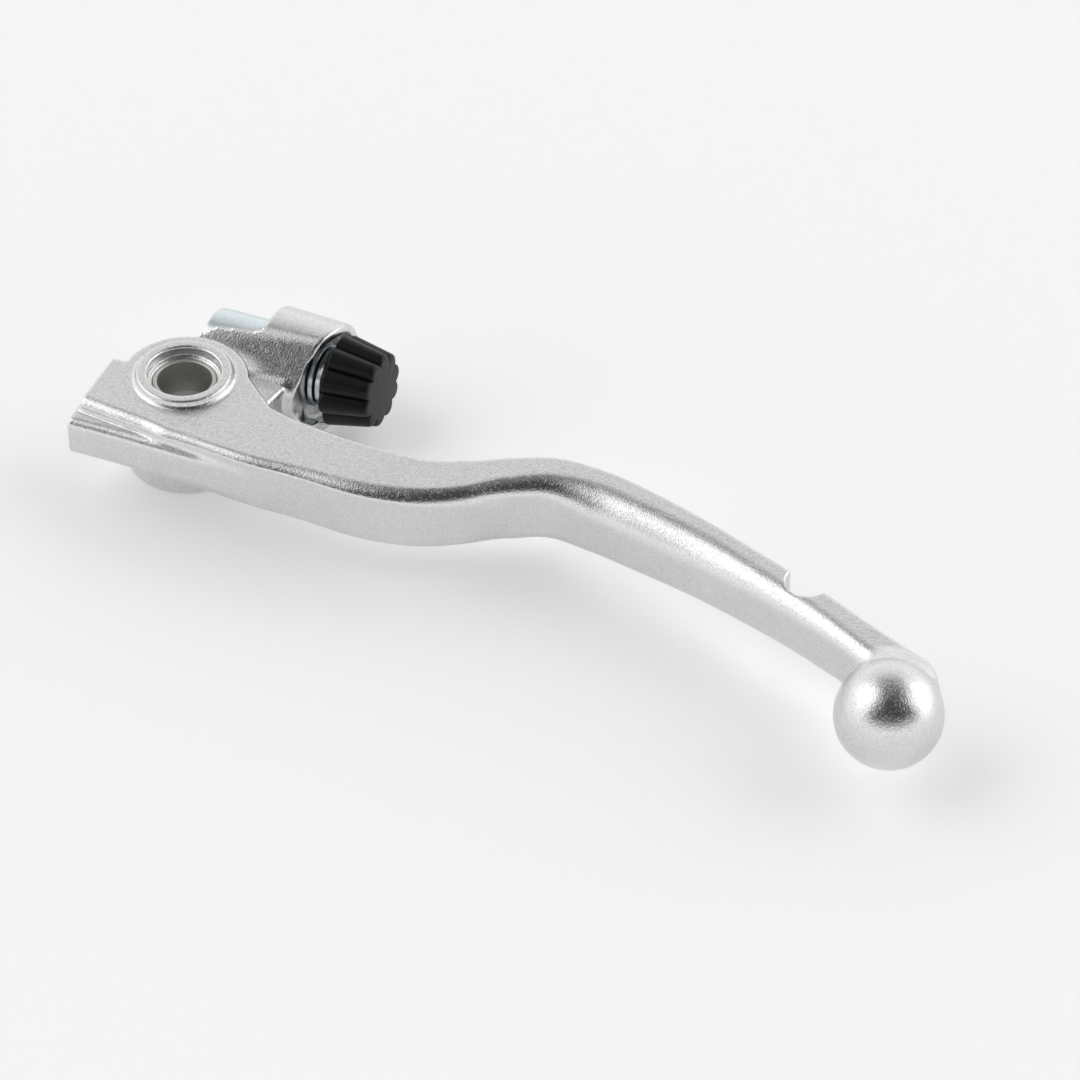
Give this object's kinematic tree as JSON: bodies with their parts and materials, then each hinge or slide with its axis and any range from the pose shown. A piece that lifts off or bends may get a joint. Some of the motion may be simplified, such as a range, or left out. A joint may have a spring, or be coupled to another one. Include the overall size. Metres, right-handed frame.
{
  "type": "clutch lever",
  "caption": "Forged aluminium clutch lever with a pivot hub, S-bent blade, ball end, and a knob-adjusted push barrel beside the hub.",
  "frame": {"origin": "on the pivot axis, half way up the pivot hub, within 0.2 mm", "axes": "+X from the pivot towards the ball end, +Y towards the handlebar, +Z along the pivot axis"},
  "size_m": [0.1713, 0.0521, 0.0228],
  "materials": {
    "forged_aluminium": "tumbled and polished, satin",
    "bush_lining": "dark dry lining",
    "zinc_plated_steel": "bluish zinc plating",
    "spring_steel": "oiled",
    "black_plastic": "moulded, slightly glossy",
    "black_rubber": "matt"
  },
  "bodies": {
    "lever": {"lever_forging": "forged_aluminium", "pivot_bush_upper": "bush_lining", "pivot_bush_lower": "bush_lining", "barrel_guide_pin": "spring_steel", "detent_ball": "spring_steel", "detent_spring": "spring_steel", "detent_plug": "zinc_plated_steel"},
    "adjuster": {"adjuster_screw": "zinc_plated_steel", "adjuster_knob": "black_plastic", "collar_washer": "zinc_plated_steel", "retaining_clip": "spring_steel", "seal_ring": "black_rubber"},
    "barrel": {"push_barrel": "zinc_plated_steel"}
  },
  "joints": [
    {"name": "adjuster_turn", "type": "hinge", "parent": "lever", "child": "adjuster", "pos_m": [0, 0.0199, -0.0009], "axis": [0.9877, 0.1476, 0.0523], "range_deg": [-720, 720]},
    {"name": "barrel_slide", "type": "slide", "parent": "lever", "child": "barrel", "axis": [0.9877, 0.1476, 0.0523], "range_m": [-0.0021, 0.0021]}
  ],
  "couplings": [
    {"joint": "barrel_slide", "follows": "adjuster_turn", "m_per_rad": -0.00015915}
  ]
}
